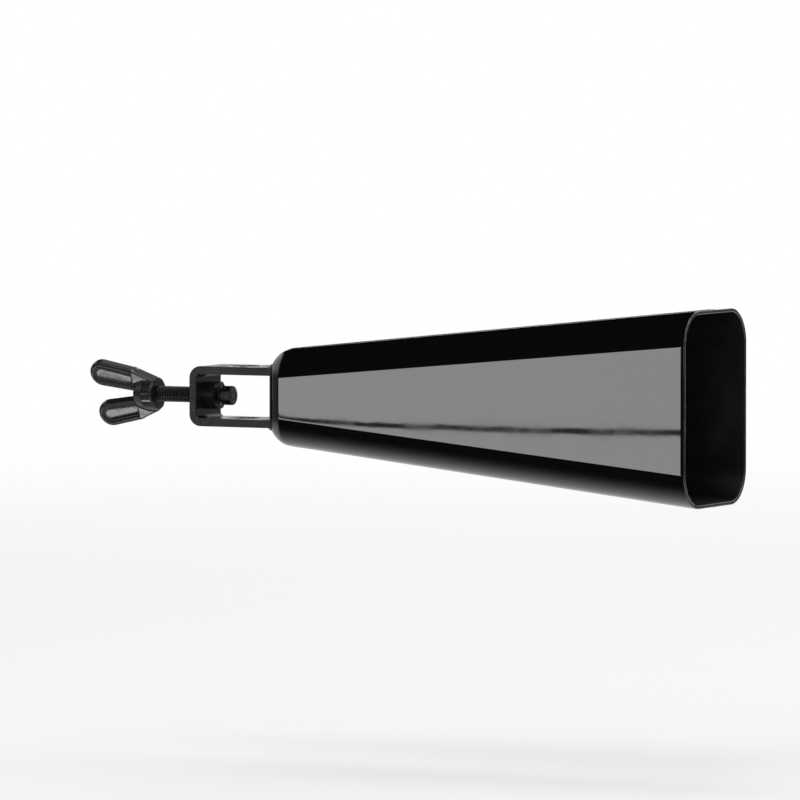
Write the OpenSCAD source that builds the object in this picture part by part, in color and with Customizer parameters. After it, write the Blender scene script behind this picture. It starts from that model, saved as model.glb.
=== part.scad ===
// Cowbell with a rod clamp.
// The origin is the centre of the rod clamp, where the rod's axis crosses the clamp screw's axis.
// +X runs along the bell towards its mouth, +Z along the rod, and the wide faces look along Y.

/* [Bell] */
// Length of the bell, from crown to mouth
bell_length = 180; // [140:1:230]
// Height of the mouth, across the narrow sides
mouth_height = 72; // [58:0.5:90]
// Depth of the mouth, from one wide face to the other
mouth_depth = 54; // [42:0.5:70]
// Height of the crown
crown_height = 36.5; // [34:0.5:48]
// Depth of the crown
crown_depth = 26; // [24:0.5:36]
// Corner radius at the mouth
mouth_corner = 13; // [9:0.5:17]
// Corner radius at the crown
crown_corner = 11; // [9:0.5:12]
// Radius that turns the sides over onto the crown
crown_round = 8; // [5:0.5:8]
// Thickness of the sheet steel
wall = 1.4; // [0.9:0.1:2.4]

/* [Welds] */
// Width of the bead over the joint between the two shells
seam_width = 3.2; // [2:0.1:5]
// How far that bead stands proud
seam_height = 0.35; // [0.2:0.05:0.8]
// Leg length of the fillet that holds the bracket
fillet_leg = 1.8; // [1:0.1:2.5]
// Strap width left bare at each end of that fillet
fillet_inset = 1; // [0.5:0.1:3]

/* [Clamp bracket] */
// Diameter of the holes for the rod
rod_hole = 10; // [8:0.1:12.5]
// Distance from the edge of the rod holes to the crown
crown_gap = 9; // [6:0.5:14]
// Width of the strap
strap_width = 20; // [16:0.5:24]
// Thickness of the strap
strap_thickness = 3; // [2:0.1:4]
// Height over both legs
bracket_height = 22.5; // [20:0.5:27]
// Inner radius of the bends
bend_radius = 1.5; // [1:0.1:3]
// Play of the screw in the end wall's hole, on the radius
screw_hole_play = 0.4; // [0.2:0.05:0.8]

/* [Clamp screw] */
// Outside diameter of the thread
screw_diameter = 6; // [5:0.5:8]
// Width of the weld nut across its flats
nut_across_flats = 10; // [9:0.5:13]
// Thickness of the weld nut
nut_thickness = 5; // [3:0.1:6.5]
// Running play between screw and nut, and between ball and pad, on the radius
running_play = 0.05; // [0.02:0.01:0.1]
// Diameter of the pressure pad
pad_diameter = 7.2; // [6:0.1:10]
// Length of the pressure pad
pad_length = 3.9; // [3.8:0.1:6]
// Radius of the ball that carries the pad
ball_radius = 1.5; // [1.2:0.1:1.5]
// How far the screw backs off before the pad meets the nut
release_travel = 1.6; // [1:0.1:5]
// Bare shank between the bracket and the wing head
shank_gap = 18.3; // [10:0.1:18.3]

/* [Wing head] */
// Diameter of the hub
hub_diameter = 12.5; // [10:0.5:15]
// Length of the hub
hub_length = 9; // [7:0.5:14]
// Length of the whole head, hub face to wing tips
head_length = 27; // [22:0.5:36]
// Thickness of the wings
wing_thickness = 4.4; // [3:0.1:6]
// Radius of the rounded wing tips
tip_radius = 5.1; // [3.5:0.1:6]
// Radius of the wings where they leave the hub
root_radius = 4.6; // [3:0.1:5]
// Distance over both wing tips
wing_spread = 27; // [24:0.5:40]
// Distance over both wing roots
root_spread = 21.5; // [18:0.5:30]
// Width of the rim left round each thumb recess
rim_width = 1.7; // [1:0.1:2.5]
// Depth of the thumb recesses
recess_depth = 0.9; // [0.4:0.1:1.3]
// How far the wings are turned out of the upright
wing_turn = 24; // [0:1:180]

/* [Hidden] */

lacquer = "#141416";
weld_black = "#26262a";
screw_black = "#3a3a3e";
pad_steel = "#8c8e92";

slice = 0.01;                                     // thickness of the flat ends that a hull joins
fine = 64;                                        // facets of round parts
hull_fine = 40;                                   // facets of what a hull joins

crown_x = rod_hole/2 + crown_gap;
mouth_x = crown_x + bell_length;
half_size = mouth_x + mouth_height;               // half the edge of a cutting block, past everything

pad_face_x = -rod_hole/2;
pad_back_x = pad_face_x - pad_length;
nut_face_x = pad_back_x - release_travel;
end_inner_x = nut_face_x - nut_thickness;
end_outer_x = end_inner_x - strap_thickness;
head_face_x = end_outer_x - shank_gap;
leg_gap = bracket_height - 2*strap_thickness;
outer_bend = bend_radius + strap_thickness;

ball_wall = 0.7;                                  // metal left between the ball's socket and the pad's face
ball_x = pad_face_x - ball_wall - ball_radius - running_play;
neck_radius = 0.62*ball_radius;
socket_mouth = 0.86*ball_radius;
shank_end_x = pad_back_x - 0.4;                   // the full thread stops this short of the pad
shank_in_head = hub_length - 1;
tip_chamfer = 0.6;

function between(a, b, t) = a + (b - a)*t;

// A round-edged disc: one corner of the crown.
module crown_corner_disc(grow) {
    ring = crown_corner - crown_round;
    edge = crown_round + grow;
    rotate([0, 90, 0])
        rotate_extrude($fn = hull_fine)
            intersection() {
                translate([ring, 0]) circle(r = edge, $fn = hull_fine);
                translate([0, -edge]) square([ring + edge, 2*edge]);
            }
}

// The bell as one filled body, its skin moved out by grow and its mouth run on by past.
module bell_body(grow = 0, past = 0) {
    t = 1 + past/(bell_length - crown_round);
    mouth_y = between(crown_depth/2 - crown_corner, mouth_depth/2 - mouth_corner, t);
    mouth_z = between(crown_height/2 - crown_corner, mouth_height/2 - mouth_corner, t);
    mouth_r = between(crown_corner, mouth_corner, t) + grow;
    hull()
        for (side_y = [-1, 1], side_z = [-1, 1]) {
            translate([crown_x + crown_round,
                       side_y*(crown_depth/2 - crown_corner),
                       side_z*(crown_height/2 - crown_corner)])
                crown_corner_disc(grow);
            translate([mouth_x + past - slice, side_y*mouth_y, side_z*mouth_z])
                rotate([0, 90, 0]) cylinder(r = mouth_r, h = slice, $fn = hull_fine);
        }
}

// Half of the folded sheet, on the -Y side.
module half_shell() {
    difference() {
        intersection() {
            bell_body();
            translate([-half_size, -2*half_size, -half_size]) cube(2*half_size);
        }
        bell_body(-wall, 1);
    }
}

module front_shell() {
    color(lacquer) half_shell();
}

module rear_shell() {
    color(lacquer) mirror([0, 1, 0]) half_shell();
}

// The bead that covers the joint of the two shells, between two heights.
module seam_bead(low_z, high_z) {
    difference() {
        intersection() {
            bell_body(seam_height);
            translate([-half_size, -seam_width/2, low_z])
                cube([half_size + mouth_x, seam_width, high_z - low_z]);
        }
        bell_body();
    }
}

module seam_weld_upper() {
    color(weld_black) seam_bead(bracket_height/2 + fillet_leg, mouth_height);
}

module seam_weld_crown() {
    color(weld_black) seam_bead(-leg_gap/2, leg_gap/2);
}

module seam_weld_lower() {
    color(weld_black) mirror([0, 0, 1]) seam_bead(bracket_height/2 + fillet_leg, mouth_height);
}

// A block with its two left-hand corners rounded, seen from the side.
module rounded_end(left_x, height, radius, right_x) {
    translate([left_x + radius, -height/2]) square([right_x - left_x - radius, height]);
    translate([left_x, -height/2 + radius]) square([radius, height - 2*radius]);
    for (side = [-1, 1])
        translate([left_x + radius, side*(height/2 - radius)]) circle(r = radius, $fn = fine);
}

// The strap, bent into a U, with its legs coped to the crown.
module clamp_bracket() {
    leg_end_x = crown_x + crown_round;
    color(lacquer)
        difference() {
            rotate([90, 0, 0])
                linear_extrude(height = strap_width, center = true)
                    difference() {
                        rounded_end(end_outer_x, bracket_height, outer_bend, leg_end_x);
                        rounded_end(end_inner_x, leg_gap, bend_radius, leg_end_x + slice);
                    }
            cylinder(d = rod_hole, h = 2*bracket_height, center = true, $fn = fine);
            translate([end_outer_x - strap_thickness, 0, 0])
                rotate([0, 90, 0])
                    cylinder(r = screw_diameter/2 + screw_hole_play, h = 3*strap_thickness, $fn = fine);
            bell_body();
        }
}

// The fillet weld along the outer face of the upper leg, where it meets the crown.
module bracket_fillet() {
    width = strap_width - 2*fillet_inset;
    difference() {
        intersection() {
            bell_body(fillet_leg);
            translate([0, -width/2, bracket_height/2]) cube([mouth_x, width, fillet_leg]);
        }
        bell_body();
    }
}

module bracket_weld_upper() {
    color(weld_black) bracket_fillet();
}

module bracket_weld_lower() {
    color(weld_black) mirror([0, 0, 1]) bracket_fillet();
}

module weld_nut() {
    color(lacquer)
        translate([end_inner_x, 0, 0])
            rotate([0, 90, 0])
                difference() {
                    rotate(30) cylinder(d = nut_across_flats/cos(30), h = nut_thickness, $fn = 6);
                    translate([0, 0, -1])
                        cylinder(r = screw_diameter/2 + running_play, h = nut_thickness + 2, $fn = fine);
                }
}

// The pad turns freely on the screw's ball, so that it doesn't grind on the rod.
module pressure_pad() {
    edge = 0.5;
    color(pad_steel)
        difference() {
            translate([pad_back_x, 0, 0])
                rotate([0, 90, 0]) {
                    cylinder(d1 = pad_diameter - 2*edge, d2 = pad_diameter, h = edge, $fn = fine);
                    translate([0, 0, edge]) cylinder(d = pad_diameter, h = pad_length - edge, $fn = fine);
                }
            translate([ball_x, 0, 0]) sphere(r = ball_radius + running_play, $fn = fine);
            translate([pad_back_x - 1, 0, 0])
                rotate([0, 90, 0]) cylinder(r = socket_mouth, h = ball_x - pad_back_x + 1, $fn = fine);
        }
}

module screw_shank() {
    start_x = head_face_x - shank_in_head;
    color(screw_black) {
        translate([start_x, 0, 0])
            rotate([0, 90, 0])
                cylinder(d = screw_diameter, h = shank_end_x - tip_chamfer - start_x, $fn = fine);
        translate([shank_end_x - tip_chamfer, 0, 0])
            rotate([0, 90, 0])
                cylinder(d1 = screw_diameter, d2 = screw_diameter - 2*tip_chamfer, h = tip_chamfer, $fn = fine);
        translate([shank_end_x - slice, 0, 0])
            rotate([0, 90, 0]) cylinder(r = neck_radius, h = ball_x - shank_end_x, $fn = fine);
        translate([ball_x, 0, 0]) sphere(r = ball_radius, $fn = fine);
    }
}

// One wing seen flat: x runs from the hub's face to the tip, y out from the axis.
module wing_outline(inset = 0) {
    hull() {
        translate([head_length - tip_radius, wing_spread/2 - tip_radius])
            circle(r = tip_radius - inset, $fn = hull_fine);
        translate([hub_length + root_radius/4, root_spread/2 - root_radius])
            circle(r = root_radius - inset, $fn = hull_fine);
    }
}

module wing_head() {
    hub_back = hub_diameter - 2.5;
    color(lacquer)
        translate([head_face_x, 0, 0])
            rotate([wing_turn, 0, 0])
                difference() {
                    union() {
                        rotate([0, -90, 0]) {
                            cylinder(d = hub_diameter, h = hub_length/2, $fn = fine);
                            translate([0, 0, hub_length/2])
                                cylinder(d1 = hub_diameter, d2 = hub_back, h = hub_length/2, $fn = fine);
                        }
                        rotate([90, 0, 0]) mirror([1, 0, 0])
                            linear_extrude(height = wing_thickness, center = true) {
                                wing_outline();
                                mirror([0, 1]) wing_outline();
                                polygon([[1, hub_diameter/2], [hub_length, root_spread/2 - 0.4],
                                         [hub_length + 1, 0], [hub_length, -root_spread/2 + 0.4],
                                         [1, -hub_diameter/2]]);
                            }
                    }
                    rotate([0, -90, 0])
                        translate([0, 0, -1]) cylinder(d = screw_diameter, h = shank_in_head + 1, $fn = fine);
                    for (face = [-1, 1], side = [0, 1])
                        mirror([0, 0, side])
                            rotate([90, 0, 0]) mirror([1, 0, 0])
                                translate([0, 0, face*wing_thickness/2 - recess_depth])
                                    linear_extrude(height = 2*recess_depth) wing_outline(rim_width);
                }
}

front_shell();
rear_shell();
seam_weld_upper();
seam_weld_crown();
seam_weld_lower();
clamp_bracket();
bracket_weld_upper();
bracket_weld_lower();
weld_nut();
pressure_pad();
screw_shank();
wing_head();
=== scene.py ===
import math

import bmesh
import bpy
from mathutils import Matrix, Quaternion, Vector


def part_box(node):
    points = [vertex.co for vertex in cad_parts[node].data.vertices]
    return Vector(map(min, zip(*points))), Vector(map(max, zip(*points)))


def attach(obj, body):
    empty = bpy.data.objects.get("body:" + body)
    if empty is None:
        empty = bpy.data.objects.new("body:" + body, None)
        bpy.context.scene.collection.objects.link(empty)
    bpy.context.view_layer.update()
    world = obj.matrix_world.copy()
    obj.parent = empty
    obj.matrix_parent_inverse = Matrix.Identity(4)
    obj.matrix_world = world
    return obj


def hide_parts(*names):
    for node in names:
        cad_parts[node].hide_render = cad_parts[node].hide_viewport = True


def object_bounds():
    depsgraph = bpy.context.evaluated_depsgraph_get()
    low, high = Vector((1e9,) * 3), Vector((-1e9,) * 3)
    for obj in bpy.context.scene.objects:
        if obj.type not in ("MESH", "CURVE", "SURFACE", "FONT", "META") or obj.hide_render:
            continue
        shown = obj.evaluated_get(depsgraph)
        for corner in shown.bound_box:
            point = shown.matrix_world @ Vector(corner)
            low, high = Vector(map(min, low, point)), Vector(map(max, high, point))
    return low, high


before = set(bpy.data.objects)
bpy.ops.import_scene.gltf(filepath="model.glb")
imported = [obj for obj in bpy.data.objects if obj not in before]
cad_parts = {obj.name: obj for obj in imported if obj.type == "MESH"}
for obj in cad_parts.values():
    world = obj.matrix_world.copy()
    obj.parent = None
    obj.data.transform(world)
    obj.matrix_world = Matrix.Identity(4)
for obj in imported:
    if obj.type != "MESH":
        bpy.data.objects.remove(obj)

# A cowbell with a rod clamp. Shapes are built in millimetres and end up in metres, in the frame's own
# axes: +X runs along the bell to its mouth, +Z along the rod, and the wide faces look along Y.

cad_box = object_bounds()
MM = 0.001


# ---- sizes in millimetres, from the frame where it holds them -------------------------------------

def box_mm(node):
    """The lowest and highest corners of a CAD node's box, in millimetres."""
    low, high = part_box(node)
    return low / MM, high / MM


shell_low, shell_high = box_mm("front_shell")
bracket_low, bracket_high = box_mm("clamp_bracket")
nut_low, nut_high = box_mm("weld_nut")
pad_low, pad_high = box_mm("pressure_pad")
shank_low, shank_high = box_mm("screw_shank")
head_low, head_high = box_mm("wing_head")
seam_low, seam_high = box_mm("seam_weld_crown")

CROWN_X, MOUTH_X = shell_low.x, shell_high.x
MOUTH_HALF = (-shell_low.y, shell_high.z)       # half depth and half height at the mouth
CROWN_HALF = (13.0, 18.25)                      # and at the crown, before its edge turns over
MOUTH_CORNER = 13.0
CROWN_CORNER = 11.0
CROWN_ROUND = 8.0
CROWN_FLAT = CROWN_HALF[1] - CROWN_ROUND        # half height of the crown's flat part
WALL = 1.4
LIP_ROUND = 0.4                                 # the mouth's edge is filed round
CORNER_STEPS = 20
ROUND_STEPS = 10
SIDE_SHARES = (0.02, 0.1, 0.25, 0.4, 0.55, 0.7, 0.85, 0.95, 0.985, 1.0)     # closest at both ends
ROUND_TURN = math.radians(85)                   # the crown's edge turns this far before the sides start

BEAD_WIDTH = 3.2
BEAD_HEIGHT = CROWN_X - seam_low.x
BEAD_RIPPLE = 2.2                               # pitch of the weld's ripples
RIPPLE_STEPS = 5                                # stations in each ripple
BEAD_STOP = 0.5                                 # the beads end this far short of the mouth
FILLET_LEG = 1.8
FILLET_RIPPLE = 1.5
FILLET_STATIONS = 110

EDGE_BREAK = 0.45                               # rolled edges of the strap
RUNNING_PLAY = 0.05                             # between screw and nut, and between ball and socket
NUT_STEPS = 96
NUT_SINK = 0.5                                  # countersink of the nut's bore
THREAD_PITCH = 1.0
THREAD_DEPTH = 0.5413 * THREAD_PITCH            # of an external metric thread
THREAD_END = 0.4                                # the thread stops this short of the pad
THREAD_CHAMFER = 0.8                            # length of the lead at the thread's end
BALL_RADIUS, NECK_RADIUS = 1.5, 0.93            # at the screw's tip
SOCKET_RADIUS = BALL_RADIUS + RUNNING_PLAY
SOCKET_WALL = 0.7                               # metal between the socket and the pad's face
HEAD_LENGTH = head_high.x - head_low.x
HUB_LENGTH = 9.0
HUB_DIAMETER = 12.5
WING_TURN = math.radians(24)
WING_THICKNESS = 4.4
TIP_RADIUS, ROOT_RADIUS = 5.1, 4.6
WING_SPREAD, ROOT_SPREAD = 27.0, 21.5
RIM_WIDTH, RECESS = 1.7, 0.9
WING_ROUND = 1.45                               # the wings' edges are cast round
DISH_STEPS = ((0.279, 0.55), (0.496, 0.3), (0.682, 0.12), (0.744, 0.03))    # inset, share of the recess


# ---- materials ------------------------------------------------------------------------------------

def colour(text):
    """Turns an sRGB hex value into the linear RGBA that a shader takes."""
    parts = [int(text[i:i + 2], 16) / 255 for i in (1, 3, 5)]
    return [c / 12.92 if c < 0.04045 else ((c + 0.055) / 1.055) ** 2.4 for c in parts] + [1.0]


def add(tree, kind, settings=None, **inputs):
    """Adds a node, sets its properties, and sets or links its inputs, by name or as _ and a number."""
    made = tree.nodes.new(kind)
    for name, value in (settings or {}).items():
        setattr(made, name, value)
    for name, value in inputs.items():
        socket = made.inputs[int(name[1:])] if name[0] == "_" else made.inputs[name.replace("_", " ")]
        if isinstance(value, bpy.types.Node):
            value = value.outputs[0]
        if isinstance(value, bpy.types.NodeSocket):
            tree.links.new(value, socket)
        else:
            socket.default_value = value
    return made


# Settings that several nodes share.
SMOOTH = {"interpolation_type": "SMOOTHSTEP"}
TIMES = {"operation": "MULTIPLY"}
COLOURS = {"data_type": "RGBA"}                 # its colours are inputs 6 and 7, and output 2
LENGTH = {"operation": "LENGTH"}
ENAMEL_BLACK = colour("#060607")
BARE_STEEL = colour("#5a5a5d")


def new_material(name):
    """An empty material, and the place on the object that its patterns read."""
    material = bpy.data.materials.new(name)
    material.use_nodes = True
    tree = material.node_tree
    tree.nodes.clear()
    return material, tree, add(tree, "ShaderNodeTexCoord").outputs["Object"]


def stoved_enamel(name, gloss, dulled, coat):
    """Black stoved enamel, sprayed and baked on steel: a deep gloss with a faint orange peel."""
    material, tree, place = new_material(name)
    # The peel is about 3 mm across, the slow sags of the coat 33 mm, and the handling smears 20 mm.
    peel = add(tree, "ShaderNodeTexNoise", Vector=place, Scale=0.32 / MM, Detail=1.0, Roughness=0.4)
    sag = add(tree, "ShaderNodeTexNoise", Vector=place, Scale=0.03 / MM, Detail=1.0, Roughness=0.3)
    smear = add(tree, "ShaderNodeTexNoise", Vector=place, Scale=0.05 / MM, Detail=6.0, Roughness=0.62)
    haze = add(tree, "ShaderNodeMapRange", SMOOTH, Value=smear, From_Min=0.42, From_Max=0.68, To_Min=gloss,
               To_Max=dulled)
    wavy = add(tree, "ShaderNodeBump", Height=sag, Strength=1.0, Distance=0.003 * MM)
    skin = add(tree, "ShaderNodeBump", Height=peel, Strength=1.0, Distance=0.0003 * MM, Normal=wavy)
    shader = add(tree, "ShaderNodeBsdfPrincipled", Base_Color=ENAMEL_BLACK, Roughness=haze, IOR=1.5,
                 Normal=skin, Coat_Weight=coat, Coat_Roughness=0.015, Coat_IOR=1.5, Coat_Normal=skin)
    add(tree, "ShaderNodeOutputMaterial", Surface=shader)
    return material, tree, place, shader


def chipped_lip():
    """The bell's outside: the sticks chip the enamel off its lip, down to dull steel."""
    material, tree, place, shader = stoved_enamel("black_stoved_enamel", 0.012, 0.032, 1.0)
    along = add(tree, "ShaderNodeSeparateXYZ", Vector=place)
    near_lip = add(tree, "ShaderNodeMapRange", SMOOTH, Value=along, From_Min=(MOUTH_X - 0.9) * MM,
                   From_Max=MOUTH_X * MM)
    # The chips are up to 3 mm long, in the last 0.9 mm before the lip.
    chips = add(tree, "ShaderNodeTexNoise", Vector=place, Scale=0.35 / MM, Detail=5.0, Roughness=0.7)
    worn = add(tree, "ShaderNodeMath", TIMES, _0=near_lip, _1=chips)
    bare = add(tree, "ShaderNodeMapRange", SMOOTH, Value=worn, From_Min=0.52, From_Max=0.6)
    tint = add(tree, "ShaderNodeMix", COLOURS, _0=bare, _6=ENAMEL_BLACK, _7=BARE_STEEL)
    tree.links.new(tint.outputs[2], shader.inputs["Base Color"])
    tree.links.new(bare.outputs[0], shader.inputs["Metallic"])
    return material


def thin_inside_with_painted_fill():
    """The bell's inside: the spray reaches in past the lip and thins out, half dried, to a grey towards the
    crown; that grey is also painted fill light, lifting the deep shade inside the bell.
    """
    material, tree, place, shader = stoved_enamel("black_enamel_overspray_with_painted_fill", 0.34, 0.5, 0.0)
    along = add(tree, "ShaderNodeSeparateXYZ", Vector=place)
    # The spray ends in a ragged edge, up to 50 mm deep.
    cloud = add(tree, "ShaderNodeTexNoise", Vector=place, Scale=0.05 / MM, Detail=6.0, Roughness=0.62)
    drift = add(tree, "ShaderNodeMath", {"operation": "MULTIPLY_ADD"}, _0=cloud, _1=50 * MM, _2=along)
    # Partly painted fill light: the inside turns from black to a lighter grey deeper in, where the bell's own
    # shade is deepest.
    dry_grey_and_painted_fill = add(tree, "ShaderNodeMapRange", SMOOTH, Value=drift, From_Min=145 * MM, From_Max=190 * MM,
              To_Min=1.0, To_Max=0.0)
    tint = add(tree, "ShaderNodeMix", COLOURS, _0=dry_grey_and_painted_fill, _6=ENAMEL_BLACK, _7=colour("#68686b"))
    tree.links.new(tint.outputs[2], shader.inputs["Base Color"])
    return material


bell_enamel = chipped_lip()
inside_enamel = thin_inside_with_painted_fill()
# The enamel lies rougher and thinner over the weld beads.
weld_enamel = stoved_enamel("black_enamel_on_weld", 0.1, 0.2, 0.7)[0]


def powder_coat():
    """Black semi-gloss powder coat, baked on a pressed steel strap: a fine even pebble, rubbed by the rod."""
    material, tree, place = new_material("black_powder_coat")
    # The pebble is drawn 0.6 mm across, coarser than the real one, so that it shows. The rubbed patches
    # are about 4 mm across, and the bare ring reaches 0.8 mm past the rod holes.
    pebble = add(tree, "ShaderNodeTexNoise", Vector=place, Scale=1.6 / MM, Detail=2.0, Roughness=0.5)
    rub = add(tree, "ShaderNodeTexNoise", Vector=place, Scale=0.25 / MM, Detail=5.0, Roughness=0.65)
    haze = add(tree, "ShaderNodeMapRange", SMOOTH, Value=rub, From_Min=0.4, From_Max=0.7, To_Min=0.2,
               To_Max=0.34)
    skin = add(tree, "ShaderNodeBump", Height=pebble, Strength=1.0, Distance=0.01 * MM)
    across = add(tree, "ShaderNodeVectorMath", TIMES, _0=place, _1=(1, 1, 0))
    from_rod = add(tree, "ShaderNodeVectorMath", LENGTH, _0=across).outputs["Value"]
    near_rod = add(tree, "ShaderNodeMapRange", SMOOTH, Value=from_rod, From_Min=5.1 * MM, From_Max=5.8 * MM,
                   To_Min=1.0, To_Max=0.0)
    worn = add(tree, "ShaderNodeMath", TIMES, _0=near_rod, _1=rub)
    bare = add(tree, "ShaderNodeMapRange", SMOOTH, Value=worn, From_Min=0.46, From_Max=0.56)
    tint = add(tree, "ShaderNodeMix", COLOURS, _0=bare, _6=colour("#101012"), _7=BARE_STEEL)
    shader = add(tree, "ShaderNodeBsdfPrincipled", Base_Color=tint.outputs[2], Metallic=bare,
                 Roughness=haze, IOR=1.5, Normal=skin)
    add(tree, "ShaderNodeOutputMaterial", Surface=shader)
    return material


def black_zinc():
    """Zinc pressure die casting under black enamel: soft edges and a slightly uneven skin."""
    material, tree, place = new_material("black_enamel_on_zinc_casting")
    # The casting's skin rises and falls over about 2 mm, and its rubbed patches over 5 mm.
    flow = add(tree, "ShaderNodeTexNoise", Vector=place, Scale=0.5 / MM, Detail=3.0, Roughness=0.5)
    rub = add(tree, "ShaderNodeTexNoise", Vector=place, Scale=0.2 / MM, Detail=5.0, Roughness=0.6)
    haze = add(tree, "ShaderNodeMapRange", SMOOTH, Value=rub, From_Min=0.4, From_Max=0.68, To_Min=0.13,
               To_Max=0.24)
    skin = add(tree, "ShaderNodeBump", Height=flow, Strength=1.0, Distance=0.012 * MM)
    shader = add(tree, "ShaderNodeBsdfPrincipled", Base_Color=colour("#0e0e10"), Roughness=haze,
                 IOR=1.5, Normal=skin)
    add(tree, "ShaderNodeOutputMaterial", Surface=shader)
    return material


def black_oxide(name, shade, groove):
    """Machined steel with a hot black-oxide finish, lightly oiled: dark metal with turning marks."""
    material, tree, place = new_material(name)
    # The turning marks are drawn 0.25 mm apart, coarser than a real feed, so that they show.
    blotch = add(tree, "ShaderNodeTexNoise", Vector=place, Scale=0.4 / MM, Detail=4.0, Roughness=0.6)
    haze = add(tree, "ShaderNodeMapRange", SMOOTH, Value=blotch, From_Min=0.35, From_Max=0.7, To_Min=0.28,
               To_Max=0.45)
    across = add(tree, "ShaderNodeVectorMath", TIMES, _0=place, _1=(0, 1, 1))
    radius = add(tree, "ShaderNodeVectorMath", LENGTH, _0=across).outputs["Value"]
    feed = add(tree, "ShaderNodeMath", TIMES, _0=radius, _1=2 * math.pi / (0.25 * MM))
    marks = add(tree, "ShaderNodeMath", {"operation": "SINE"}, _0=feed)
    skin = add(tree, "ShaderNodeBump", Height=marks, Strength=1.0, Distance=groove * MM)
    shader = add(tree, "ShaderNodeBsdfPrincipled", Base_Color=colour(shade), Metallic=1.0,
                 Roughness=haze, Normal=skin)
    add(tree, "ShaderNodeOutputMaterial", Surface=shader)
    return material


bracket_coat = powder_coat()
wing_enamel = black_zinc()
screw_oxide = black_oxide("black_oxide_screw_steel", "#3c3c40", 0.001)
pad_oxide = black_oxide("black_oxide_turned_steel", "#4a4a4e", 0.003)


# ---- helpers for shapes --------------------------------------------------------------------------

def make_piece(name, bm, body, replaces, materials, sharp=38):
    """Turns a bmesh in millimetres into a piece on a body, smooth but at edges over sharp degrees."""
    bmesh.ops.scale(bm, vec=(MM,) * 3, verts=bm.verts)
    mesh = bpy.data.meshes.new(name)
    bm.to_mesh(mesh)
    bm.free()
    for material in materials:
        mesh.materials.append(material)
    mesh.shade_smooth()
    mesh.set_sharp_from_angle(angle=math.radians(sharp))
    piece = bpy.data.objects.new(name, mesh)
    bpy.context.scene.collection.objects.link(piece)
    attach(piece, body)
    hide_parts(*replaces)
    return piece


def weighted(piece):
    """Keeps broad flat faces flat to the eye beside their narrow rounded edges."""
    smooth = piece.modifiers.new("flat_faces", "WEIGHTED_NORMAL")
    smooth.keep_sharp = True
    smooth.weight = 100


def outward(bm):
    """Merges a closed shape's doubles, then turns its faces outwards."""
    bmesh.ops.remove_doubles(bm, verts=bm.verts, dist=1e-5)
    bmesh.ops.recalc_face_normals(bm, faces=bm.faces)


def verts_of(made):
    """The vertices among what an operator made."""
    return [g for g in made["geom"] if isinstance(g, bmesh.types.BMVert)]


def sweep(bm, stations, sides):
    """Carries a unit circle through a list of matrices, and closes both ends."""
    start = bmesh.ops.create_circle(bm, cap_ends=True, radius=1, segments=sides)
    bmesh.ops.transform(bm, matrix=stations[0], verts=start["verts"])
    ring = start["verts"][0].link_faces[0].edges[:]
    for before, after in zip(stations, stations[1:]):
        made = bmesh.ops.extrude_edge_only(bm, edges=ring)
        fresh = set(verts_of(made))
        bmesh.ops.transform(bm, matrix=after @ before.inverted(), verts=list(fresh))
        ring = [e for e in made["geom"] if isinstance(e, bmesh.types.BMEdge) and set(e.verts) <= fresh]
    bmesh.ops.contextual_create(bm, geom=ring)


def turned(bm, profile, steps=64):
    """Spins a profile of (x, radius) points right round the X axis."""
    points = [bm.verts.new((x, 0, r)) for x, r in profile]
    edges = [bm.edges.new(pair) for pair in zip(points, points[1:])]
    bmesh.ops.spin(bm, geom=points + edges, cent=(0, 0, 0), axis=(1, 0, 0), angle=2 * math.pi,
                   steps=steps, use_merge=True, dvec=(0, 0, 0))
    bmesh.ops.remove_doubles(bm, verts=bm.verts, dist=1e-4)


# ---- the bell -------------------------------------------------------------------------------------

def rounded_rectangle(bm, x, half_depth, half_height, radius):
    """A ring of edges across the bell at x, with its four corners rounded."""
    others = set(bm.faces)
    corners = bmesh.ops.create_grid(bm, x_segments=1, y_segments=1, size=1)["verts"]
    stand = Matrix.Translation((x, 0, 0)) @ Matrix.Diagonal((1, half_depth, half_height, 1))
    bmesh.ops.transform(bm, matrix=stand @ Matrix.Rotation(math.pi / 2, 4, "Y"), verts=corners)
    bmesh.ops.bevel(bm, geom=corners, offset=radius, offset_type="OFFSET", segments=CORNER_STEPS,
                    profile=0.5, affect="VERTICES", material=-1, clamp_overlap=False)
    face = (set(bm.faces) - others).pop()
    ring = face.edges[:]
    bmesh.ops.delete(bm, geom=[face], context="FACES_ONLY")
    return ring


def skin_sections(inset):
    """Sections of a skin that lies inset under the surface: the crown's round edge, then the sides."""
    radius = CROWN_ROUND - inset
    for step in range(ROUND_STEPS + 1):
        angle = ROUND_TURN * step / ROUND_STEPS
        grow = radius * math.sin(angle) - CROWN_ROUND
        section = Vector((CROWN_X + CROWN_ROUND - radius * math.cos(angle),
                          CROWN_HALF[0] + grow, CROWN_HALF[1] + grow, CROWN_CORNER + grow))
        yield section
    mouth = Vector((MOUTH_X, MOUTH_HALF[0] - inset, MOUTH_HALF[1] - inset, MOUTH_CORNER - inset))
    for share in SIDE_SHARES:
        yield section.lerp(mouth, share)


def bell_shell():
    """The whole bell as one closed sheet: out along its skin, over the lip, and back inside."""
    bm = bmesh.new()
    outer = [rounded_rectangle(bm, *section) for section in skin_sections(0)]
    inner = [rounded_rectangle(bm, *section) for section in skin_sections(WALL)]
    rings = outer + inner[::-1]
    for ring, following in zip(rings, rings[1:]):
        made = bmesh.ops.bridge_loops(bm, edges=ring + following)
        for face in made["faces"]:
            face.material_index = int(following in inner and ring in inner)
    bmesh.ops.contextual_create(bm, geom=outer[0])
    bmesh.ops.contextual_create(bm, geom=inner[0], mat_nr=1)
    outward(bm)
    lip = [e for e in bm.edges if all(v.co.x > MOUTH_X - 0.01 for v in e.verts)
           and len({round(f.normal.x, 1) for f in e.link_faces}) > 1]
    bmesh.ops.bevel(bm, geom=lip, offset=LIP_ROUND, offset_type="OFFSET", segments=3, profile=0.5,
                    affect="EDGES", material=-1)
    return bm


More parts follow.
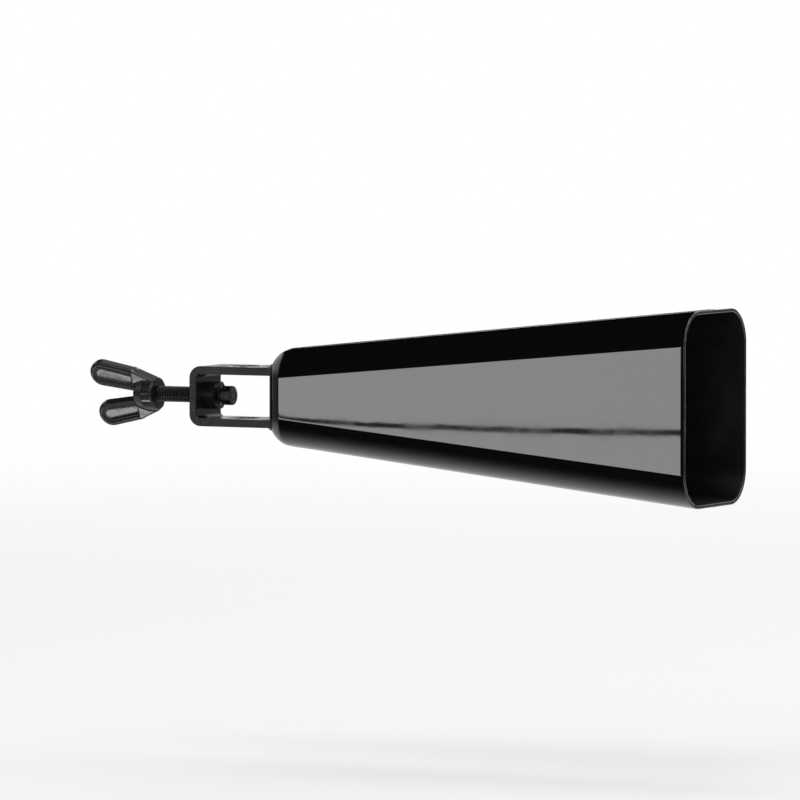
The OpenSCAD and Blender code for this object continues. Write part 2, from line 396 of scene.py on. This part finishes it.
def half_of(bm, side):
    """The half of a closed sheet on one side of the middle plane, closed where it was cut."""
    half = bm.copy()
    geom = half.verts[:] + half.edges[:] + half.faces[:]
    cut = bmesh.ops.bisect_plane(half, geom=geom, dist=1e-5, plane_co=(0, 0, 0),
                                 plane_no=(0, -side, 0), clear_outer=True)
    edges = [g for g in cut["geom_cut"] if isinstance(g, bmesh.types.BMEdge)]
    bmesh.ops.triangle_fill(half, edges=edges, use_beauty=True)
    outward(half)
    return half


shell = bell_shell()
bell_finishes = [bell_enamel, inside_enamel]
weighted(make_piece("bell_front", half_of(shell, -1), "bell", ["front_shell"],
                    bell_finishes))
weighted(make_piece("bell_rear", half_of(shell, 1), "bell", ["rear_shell"],
                    bell_finishes))
shell.free()


# ---- welds ----------------------------------------------------------------------------------------

def seam_point(along):
    """Where the bell's middle line is, a distance along from the crown's centre, and its outward tilt."""
    turn = min(ROUND_TURN, max(0.0, (along - CROWN_FLAT) / CROWN_ROUND))
    spot = Vector((CROWN_X + CROWN_ROUND * (1 - math.cos(turn)),
                   min(along, CROWN_FLAT) + CROWN_ROUND * math.sin(turn)))
    if turn < ROUND_TURN:
        return spot, turn
    slope = Vector((MOUTH_X, MOUTH_HALF[1])) - spot
    past = along - CROWN_FLAT - CROWN_ROUND * ROUND_TURN
    return spot + slope.normalized() * past, math.pi / 2 - math.atan2(slope.y, slope.x)


def ripple(distance, pitch, depth):
    """The swelling of a weld bead: it rises slowly and falls away at each stop of the torch."""
    phase = distance / pitch % 1
    return 1 - depth * (1 - math.sin(math.pi * phase ** 1.4))


def fullness(station, last, thin, run):
    """How full a bead is at a station: thin at both ends, and whole after a run of stations."""
    return min(1, thin + (1 - thin) * min(station, last - station) / run)


def seam_bead(first, last, flip):
    """A rippled bead along the bell's middle line, between two distances from the crown's centre."""
    step = BEAD_RIPPLE / RIPPLE_STEPS
    count = math.ceil((last - first) / step)
    stations = []
    for i in range(count + 1):
        along = first + (last - first) * i / count
        place, tilt = seam_point(abs(along))
        side = (-1 if along < 0 else 1) * flip
        swell = ripple(along - first, BEAD_RIPPLE, 0.14) * fullness(i, count, 0.25, 5)
        heading = Matrix.Rotation(tilt, 4, "Y")
        size = Matrix.Diagonal((BEAD_HEIGHT * swell, BEAD_WIDTH / 2 * (0.75 + 0.25 * swell), 1, 1))
        spot = Matrix.Translation((place.x, 0, place.y))
        stations.append(Matrix.Diagonal((1, 1, side, 1)) @ spot @ heading @ size)
    bm = bmesh.new()
    sweep(bm, stations, 14)
    outward(bm)
    return bm


def along_at(node_edge):
    """The distance along the middle line where a bead starts on the crown's round edge."""
    return CROWN_FLAT + CROWN_ROUND * math.asin((node_edge - CROWN_FLAT) / CROWN_ROUND)


upper_seam_low, upper_seam_high = box_mm("seam_weld_upper")
seam_start = along_at(upper_seam_low.z)
seam_end = seam_start
while seam_point(seam_end)[0].x < MOUTH_X - BEAD_STOP:
    seam_end += 0.25
for name, first, last, flip, node in (
        ("seam_bead_upper", seam_start, seam_end, 1, "seam_weld_upper"),
        ("seam_bead_crown", -seam_high.z, seam_high.z, 1, "seam_weld_crown"),
        ("seam_bead_lower", seam_start, seam_end, -1, "seam_weld_lower")):
    make_piece(name, seam_bead(first, last, flip), "bell", [node], [weld_enamel])


def crown_surface(y, z):
    """How far along X the crown's surface is, at a place on its rounded corner."""
    out = Vector((max(0, abs(y) - (CROWN_HALF[0] - CROWN_CORNER)),
                  max(0, abs(z) - (CROWN_HALF[1] - CROWN_CORNER)))).length
    over = max(0, out - (CROWN_CORNER - CROWN_ROUND))
    return CROWN_X + CROWN_ROUND - math.sqrt(max(0, CROWN_ROUND ** 2 - over ** 2))


def fillet_bead(node, side):
    """A rippled fillet along a leg of the bracket, where it meets the crown."""
    low, high = box_mm(node)
    leg_z = bracket_high.z
    width = high.y - low.y
    stations = []
    for i in range(FILLET_STATIONS + 1):
        across = low.y + width * i / FILLET_STATIONS
        corner = Vector((crown_surface(across, leg_z), across, leg_z))
        taper = fullness(i, FILLET_STATIONS, 0.35, 9)
        swell = ripple(across - low.y, FILLET_RIPPLE, 0.07) * taper * FILLET_LEG * 0.62
        facing = Matrix.Rotation(math.radians(-38), 4, "Y")     # its broad side faces out of the corner
        size = Matrix.Diagonal((1.35 * swell, swell, 1, 1))
        lay = Matrix.Rotation(-math.pi / 2, 4, "X")
        stations.append(Matrix.Diagonal((1, 1, side, 1)) @ Matrix.Translation(corner) @ facing @ lay @ size)
    bm = bmesh.new()
    sweep(bm, stations, 16)
    outward(bm)
    return bm


for name, node, side in (("bracket_bead_upper", "bracket_weld_upper", 1),
                         ("bracket_bead_lower", "bracket_weld_lower", -1)):
    make_piece(name, fillet_bead(node, side), "bell", [node], [weld_enamel])


# ---- the bracket and its nut ------------------------------------------------------------------------

def copy_of(node):
    """A merged copy of a CAD node, in millimetres, with its flat faces made whole."""
    bm = bmesh.new()
    bm.from_mesh(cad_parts[node].data)
    bmesh.ops.scale(bm, vec=(1 / MM,) * 3, verts=bm.verts)
    bmesh.ops.remove_doubles(bm, verts=bm.verts, dist=0.001)
    bmesh.ops.dissolve_limit(bm, angle_limit=math.radians(0.6), verts=bm.verts, edges=bm.edges)
    return bm


def bracket():
    """The bent strap, with its rolled and punched edges softened."""
    bm = copy_of("clamp_bracket")
    hard = [e for e in bm.edges if len(e.link_faces) == 2 and e.calc_face_angle() > math.radians(40)
            and all(v.co.x < CROWN_X - 0.5 for v in e.verts)]
    bmesh.ops.bevel(bm, geom=hard, offset=EDGE_BREAK, offset_type="OFFSET", segments=3, profile=0.5,
                    affect="EDGES", material=-1)
    return bm


weighted(make_piece("bracket_strap", bracket(), "bell", ["clamp_bracket"],
                    [bracket_coat]))


def nut_outline(angle):
    """The nut's outline at an angle round its axis, as (x, radius) points from bore to bore."""
    flat = min(nut_high.y, nut_high.z)
    first_corner = 0.0 if nut_high.y > nut_high.z else math.pi / 2
    side = flat / math.cos((angle - first_corner) % (math.pi / 3) - math.pi / 6)
    bore = (shank_high.z - shank_low.z) / 2 + RUNNING_PLAY
    circle = flat * 0.97                        # where the cone that breaks the corners starts
    cone = max(0, side - circle) * math.tan(math.radians(30))
    return [(nut_low.x, bore), (nut_low.x, side), (nut_high.x - cone, side),
            (nut_high.x, min(side, circle)), (nut_high.x, bore + NUT_SINK),
            (nut_high.x - NUT_SINK, bore), (nut_low.x, bore)]


def hexagon_nut():
    """A weld nut: hexagon flats, corners turned to a cone, and a countersunk bore."""
    bm = bmesh.new()
    ring = bmesh.ops.create_circle(bm, segments=NUT_STEPS, radius=1, cap_ends=False)["verts"]
    bmesh.ops.rotate(bm, cent=(0, 0, 0), matrix=Matrix.Rotation(math.pi / 2, 4, "Y"), verts=ring)
    edges = bm.edges[:]
    for index in range(len(nut_outline(0))):
        if index:
            made = bmesh.ops.extrude_edge_only(bm, edges=edges)
            ring = set(verts_of(made))
            edges = [e for e in made["geom"] if isinstance(e, bmesh.types.BMEdge) and set(e.verts) <= ring]
        for v in ring:
            angle = math.atan2(v.co.z, v.co.y)
            x, radius = nut_outline(angle)[index]
            v.co = Vector((x, radius * math.cos(angle), radius * math.sin(angle)))
    outward(bm)
    return bm


weighted(make_piece("hexagon_weld_nut", hexagon_nut(), "bell", ["weld_nut"],
                    [bracket_coat], sharp=25))


# ---- the clamp screw --------------------------------------------------------------------------------

def swivel_pad():
    """The turned pad on the screw's tip, with a shallow ring cut in the face that bears on the rod."""
    bm = bmesh.new()
    back, face = pad_low.x, pad_high.x
    radius = pad_high.z
    middle_x = face - SOCKET_WALL - SOCKET_RADIUS
    turns = [math.radians(d) for d in (180, 165, 150, 135, 120, 105, 90, 75, 56.5)]
    socket = [(middle_x - SOCKET_RADIUS * math.cos(a), SOCKET_RADIUS * math.sin(a)) for a in turns]
    # A chamfered back edge, a shallow groove round the middle, and a softened front edge.
    outside = [(back, SOCKET_RADIUS * math.sin(turns[-1])), (back, radius - 0.6),
               (back + 0.12, radius - 0.35), (back + 0.4, radius), (back + 1.3, radius),
               (back + 1.4, radius - 0.15), (back + 1.75, radius - 0.15), (back + 1.85, radius),
               (face - 0.3, radius), (face - 0.08, radius - 0.1), (face, radius - 0.3)]
    front = [(face, radius * 0.62), (face - 0.15, radius * 0.58), (face - 0.15, radius * 0.45),
             (face, radius * 0.41), (face, 0)]
    turned(bm, socket + outside + front)
    outward(bm)
    return bm


weighted(make_piece("swivel_pad", swivel_pad(), "pad", ["pressure_pad"], [pad_oxide],
                    sharp=28))


def threaded_shank():
    """A rolled M6 thread: one pitch of its outline, turned along its helix, then cut to length."""
    bm = bmesh.new()
    major = shank_high.z
    minor = major - THREAD_DEPTH
    start, end = shank_low.x, pad_low.x - THREAD_END
    teeth = math.ceil((end - start) / THREAD_PITCH) + 3
    profile = []
    for tooth in range(teeth):
        root = start + (tooth - 2) * THREAD_PITCH
        # A quarter of the pitch is root and an eighth is crest, with a flank on each side of the crest.
        outline = ((0, minor), (0.25, minor), (0.5625, major), (0.6875, major))
        profile += [(root + share * THREAD_PITCH, radius) for share, radius in outline]
    points = [bm.verts.new((x, 0, r)) for x, r in profile]
    edges = [bm.edges.new(pair) for pair in zip(points, points[1:])]
    steps = 40
    bmesh.ops.spin(bm, geom=points + edges, cent=(0, 0, 0), axis=(1, 0, 0), angle=2 * math.pi,
                   steps=steps, dvec=(THREAD_PITCH / steps, 0, 0))
    bmesh.ops.remove_doubles(bm, verts=bm.verts, dist=1e-3)
    for x, way in ((start, -1), (end, 1)):
        geom = bm.verts[:] + bm.edges[:] + bm.faces[:]
        cut = bmesh.ops.bisect_plane(bm, geom=geom, dist=1e-5, plane_co=(x, 0, 0), plane_no=(way, 0, 0),
                                     clear_outer=True)
        rim = [g for g in cut["geom_cut"] if isinstance(g, bmesh.types.BMEdge)]
        bmesh.ops.contextual_create(bm, geom=rim)
    # A lead-in: the end of the thread is turned down to a cone.
    for v in bm.verts:
        into_chamfer = THREAD_CHAMFER - (end - v.co.x)
        limit = major - 0.75 * into_chamfer
        radius = Vector((v.co.y, v.co.z)).length
        if into_chamfer > 0 and radius > limit:
            v.co.y *= limit / radius
            v.co.z *= limit / radius
    centre = shank_high.x - BALL_RADIUS
    join = centre - math.sqrt(BALL_RADIUS ** 2 - NECK_RADIUS ** 2)
    tip = [(end - 0.2, 0), (end - 0.2, NECK_RADIUS + 0.3), (end + 0.05, NECK_RADIUS), (join, NECK_RADIUS)]
    turns = [math.radians(d) for d in range(45, 181, 15)]
    tip += [(centre - BALL_RADIUS * math.cos(a), BALL_RADIUS * math.sin(a)) for a in turns]
    turned(bm, tip, steps=32)
    outward(bm)
    return bm


weighted(make_piece("threaded_shank", threaded_shank(), "wing_screw", ["screw_shank"],
                    [screw_oxide], sharp=25))


def lobe(bm):
    """One wing: a plate between a tip circle and a root circle, dished on both faces, edges rolled."""
    discs = []
    for along, out, radius in ((HEAD_LENGTH - TIP_RADIUS, WING_SPREAD / 2 - TIP_RADIUS, TIP_RADIUS),
                               (HUB_LENGTH + ROOT_RADIUS / 4, ROOT_SPREAD / 2 - ROOT_RADIUS, ROOT_RADIUS)):
        made = bmesh.ops.create_cone(bm, cap_ends=True, segments=64, radius1=radius, radius2=radius,
                                     depth=WING_THICKNESS)
        lay = Matrix.Translation((-along, 0, out)) @ Matrix.Rotation(math.pi / 2, 4, "X")
        bmesh.ops.transform(bm, matrix=lay, verts=made["verts"])
        discs += made["verts"]
    hull = bmesh.ops.convex_hull(bm, input=discs)
    spare = [g for g in hull["geom_interior"] + hull["geom_unused"] if isinstance(g, bmesh.types.BMVert)]
    bmesh.ops.delete(bm, geom=spare, context="VERTS")
    bmesh.ops.dissolve_limit(bm, angle_limit=math.radians(1), verts=bm.verts, edges=bm.edges)
    broad = sorted(bm.faces, key=lambda f: f.calc_area())[-2:]
    rims = [e for face in broad for e in face.edges]
    bmesh.ops.bevel(bm, geom=rims, offset=WING_ROUND, offset_type="OFFSET", segments=4, profile=0.5,
                    affect="EDGES", material=-1)
    broad = sorted(bm.faces, key=lambda f: f.calc_area())[-2:]
    bmesh.ops.inset_region(bm, faces=broad, thickness=RIM_WIDTH - WING_ROUND, use_even_offset=True)
    for inset, share in DISH_STEPS:
        bmesh.ops.inset_region(bm, faces=broad, thickness=inset, depth=0, use_even_offset=True)
        for face in broad:
            bmesh.ops.translate(bm, vec=-face.normal * RECESS * share, verts=face.verts)


def wing_head():
    """The cast head: hub and two dished wings run into each other with soft fillets."""
    bm = bmesh.new()
    lobe(bm)
    bmesh.ops.mirror(bm, geom=bm.verts[:] + bm.edges[:] + bm.faces[:], axis="Z",
                     matrix=Matrix.Identity(4), merge_dist=-1)
    # The hub is straight for half its length, then tapers to a rounded back.
    hub_back = HUB_DIAMETER / 2 - 1.25
    hub = [(0, 0), (0, HUB_DIAMETER / 2 - 0.5), (-0.15, HUB_DIAMETER / 2 - 0.15),
           (-0.5, HUB_DIAMETER / 2), (-HUB_LENGTH / 2, HUB_DIAMETER / 2),
           (-HUB_LENGTH + 1.2, hub_back + 0.25), (-HUB_LENGTH + 0.35, hub_back - 0.35),
           (-HUB_LENGTH, hub_back - 1.2), (-HUB_LENGTH, 0)]
    turned(bm, hub, steps=96)
    # A web that widens from the hub's face to the wings' roots.
    web = bmesh.ops.create_cube(bm, size=1)["verts"]
    web_spread = ROOT_SPREAD - 0.8
    bmesh.ops.scale(bm, vec=(HUB_LENGTH, WING_THICKNESS, web_spread), verts=web)
    bmesh.ops.translate(bm, vec=(-HUB_LENGTH / 2 - 0.2, 0, 0), verts=web)
    for v in web:
        if v.co.x > -HUB_LENGTH / 2:
            v.co.z *= HUB_DIAMETER / web_spread
    bmesh.ops.recalc_face_normals(bm, faces=bm.faces)
    return bm


def cast_together(bm, voxel, passes):
    """Runs crossing solids into one skin, and rounds its inner corners as a casting's are."""
    mesh = bpy.data.meshes.new("casting")
    bm.to_mesh(mesh)
    bm.free()
    rough = bpy.data.objects.new("casting", mesh)
    bpy.context.scene.collection.objects.link(rough)
    remesh = rough.modifiers.new("one_skin", "REMESH")
    remesh.mode = "VOXEL"
    remesh.voxel_size = voxel
    graph = bpy.context.evaluated_depsgraph_get()
    skin = bmesh.new()
    skin.from_mesh(rough.evaluated_get(graph).to_mesh())
    bpy.data.objects.remove(rough)
    for _ in range(passes):
        bmesh.ops.smooth_vert(skin, verts=skin.verts, factor=0.5, use_axis_x=True, use_axis_y=True,
                              use_axis_z=True)
    return skin


wings = cast_together(wing_head(), voxel=0.2, passes=10)
turn = Matrix.Translation((head_high.x, 0, 0)) @ Matrix.Rotation(WING_TURN, 4, "X")
bmesh.ops.transform(wings, matrix=turn, verts=wings.verts)
make_piece("cast_wing_head", wings, "wing_screw", ["wing_head"], [wing_enamel], sharp=180)


# ---- stage, light and camera ------------------------------------------------------------------------

# The stage is in metres.
middle = (Vector(cad_box[0]) + Vector(cad_box[1])) / 2
FLOOR_Z = -0.14
FLOOR_RADIUS = 2.4
CAMERA_AZIMUTH, CAMERA_ELEVATION, CAMERA_DISTANCE = 27, 3, 3.05


def toward(azimuth, elevation):
    """A direction from the object: azimuth 0 is -Y, turning towards +X."""
    a, e = math.radians(azimuth), math.radians(elevation)
    return Vector((math.sin(a) * math.cos(e), -math.cos(a) * math.cos(e), math.sin(e)))


def floor_finish():
    """A pale matt floor that fades out with distance, and is open from below."""
    material, tree, place = new_material("pale_matt_floor")
    flat = add(tree, "ShaderNodeVectorMath", TIMES, _0=place, _1=(1, 1, 0))
    away = add(tree, "ShaderNodeVectorMath", LENGTH, _0=flat).outputs["Value"]
    fade = add(tree, "ShaderNodeMapRange", SMOOTH, Value=away, From_Min=0.5, From_Max=2.2)
    under = add(tree, "ShaderNodeNewGeometry").outputs["Backfacing"]
    open_part = add(tree, "ShaderNodeMath", {"operation": "MAXIMUM"}, _0=fade, _1=under)
    chalk = add(tree, "ShaderNodeBsdfDiffuse", Color=colour("#dedede"), Roughness=0.5)
    gone = add(tree, "ShaderNodeBsdfTransparent")
    mixed = add(tree, "ShaderNodeMixShader", _0=open_part, _1=chalk, _2=gone)
    add(tree, "ShaderNodeOutputMaterial", Surface=mixed)
    return material


def make_floor():
    """A floor below the object, which gloss doesn't see."""
    bm = bmesh.new()
    bmesh.ops.create_circle(bm, cap_ends=True, radius=FLOOR_RADIUS, segments=128)
    bmesh.ops.translate(bm, vec=(middle.x, 0, FLOOR_Z), verts=bm.verts)
    mesh = bpy.data.meshes.new("floor")
    bm.to_mesh(mesh)
    bm.free()
    mesh.materials.append(floor_finish())
    floor = bpy.data.objects.new("floor", mesh)
    bpy.context.scene.collection.objects.link(floor)
    floor.visible_glossy = False
    floor.visible_shadow = False


def panel(name, azimuth, elevation, distance, width, height, brightness, shift=(0, 0), lean=0):
    """A soft box that faces the object, seen in its gloss but not by the camera."""
    light = bpy.data.lights.new(name, "AREA")
    light.shape = "RECTANGLE"
    light.size, light.size_y = width, height
    light.energy = brightness * math.pi * width * height
    lamp = bpy.data.objects.new(name, light)
    bpy.context.scene.collection.objects.link(lamp)
    back = toward(azimuth, elevation)
    lamp.rotation_mode = "QUATERNION"
    lamp.rotation_quaternion = back.to_track_quat("Z", "Y") @ Quaternion((0, 0, 1), math.radians(lean))
    sideways, upward = (lamp.rotation_quaternion @ Vector(v) for v in ((1, 0, 0), (0, 1, 0)))
    lamp.location = middle + back * distance + sideways * shift[0] + upward * shift[1]
    lamp.visible_camera = False
    return lamp


def studio():
    """The world and its soft boxes."""
    world = bpy.data.worlds.new("studio")
    bpy.context.scene.world = world
    world.use_nodes = True
    tree = world.node_tree
    tree.nodes.clear()
    # Diffuse light is even all round. Gloss sees pale walls and ground, but for a dark belt round the
    # bell, which keeps its rounded edges black.
    way = add(tree, "ShaderNodeTexCoord").outputs["Generated"]
    parts = add(tree, "ShaderNodeSeparateXYZ", Vector=way)
    bell_way = {"operation": "DOT_PRODUCT"}
    along = add(tree, "ShaderNodeVectorMath", bell_way, _0=way, _1=(1, -0.087, 0)).outputs["Value"]
    ahead = add(tree, "ShaderNodeMapRange", SMOOTH, Value=along, From_Min=-0.46, From_Max=-0.36)
    behind = add(tree, "ShaderNodeMapRange", SMOOTH, Value=along, From_Min=-0.74, From_Max=-0.65,
                 To_Min=1.0, To_Max=0.0)
    past_belt = add(tree, "ShaderNodeMath", {"operation": "ADD"}, _0=ahead, _1=behind)
    steep = add(tree, "ShaderNodeMath", {"operation": "ABSOLUTE"}, _0=parts.outputs["Z"])
    pale = add(tree, "ShaderNodeMapRange", SMOOTH, Value=steep, From_Min=0.03, From_Max=0.5, To_Min=0.14,
               To_Max=0.75)
    walls = add(tree, "ShaderNodeMath", TIMES, _0=past_belt, _1=pale)
    low = add(tree, "ShaderNodeMapRange", SMOOTH, Value=parts.outputs["Z"], From_Min=-0.35, From_Max=-0.05,
              To_Min=1.0, To_Max=0.0)
    farther = add(tree, "ShaderNodeMapRange", SMOOTH, Value=parts.outputs["Y"], From_Min=-0.62,
                  From_Max=0.4, To_Min=0.0, To_Max=0.6)
    ground = add(tree, "ShaderNodeMath", {"operation": "MULTIPLY_ADD"}, _0=low, _1=farther, _2=0.002)
    seen = add(tree, "ShaderNodeMath", {"operation": "MAXIMUM"}, _0=walls, _1=ground)
    gloss = add(tree, "ShaderNodeLightPath").outputs["Is Glossy Ray"]
    strength = add(tree, "ShaderNodeMix", {"data_type": "FLOAT"}, _0=gloss, _2=1.0, _3=seen)
    sky = add(tree, "ShaderNodeBackground", Color=colour("#ffffff"), Strength=strength)
    add(tree, "ShaderNodeOutputWorld", Surface=sky)
    # The two strips that the wide face mirrors, with the thin dark gap between them.
    panel("left_strip_upper", -36, -3, 3.0, 0.72, 0.26, 2.85, (-0.09, 0.1099), -0.4)
    panel("left_strip_lower", -36, -3, 3.0, 0.72, 0.16, 2.85, (-0.09, -0.1051), -0.4)
    # Soft boxes for the other sides, clear of what the wide face's rounded edges mirror.
    panel("above", 0, 88, 1.3, 0.5, 0.5, 3.0)
    panel("front_above", 20, 52, 1.5, 0.6, 0.4, 3.0)
    panel("right_above", 100, 38, 1.6, 0.8, 0.5, 2.0)
    panel("back_above", 178, 42, 1.6, 0.8, 0.5, 2.0)
    panel("left", -97, 8, 1.8, 0.5, 0.7, 0.4)
    panel("front_right", 20, 2, 2.6, 0.9, 0.4, 2.0)
    panel("back_right", 174, 2, 2.6, 0.8, 0.5, 2.2)
    panel("back_left", -150, 2, 2.6, 0.9, 0.36, 1.6)
    # A card under the wings, flagged off everything else.
    card = panel("wing_card", -38, -45, 0.4, 0.13, 0.05, 7.0)
    card.location += Vector((head_low.x + 8, 0, 0)) * MM - middle
    lit = bpy.data.collections.new("lit_by_wing_card")
    for name in ("cast_wing_head", "threaded_shank"):
        lit.objects.link(bpy.data.objects[name])
    card.light_linking.receiver_collection = lit


def camera():
    """A long lens, from a little to the right of the wide face and a little above it."""
    data = bpy.data.cameras.new("camera")
    data.lens = 370
    data.sensor_width = 36
    data.clip_start, data.clip_end = 0.1, 50
    eye = bpy.data.objects.new("camera", data)
    bpy.context.scene.collection.objects.link(eye)
    back = toward(CAMERA_AZIMUTH, CAMERA_ELEVATION)
    eye.location = middle + back * CAMERA_DISTANCE
    eye.rotation_mode = "QUATERNION"
    eye.rotation_quaternion = back.to_track_quat("Z", "Y")
    bpy.context.scene.camera = eye


make_floor()
studio()
camera()
bpy.context.scene.view_settings.view_transform = "Standard"
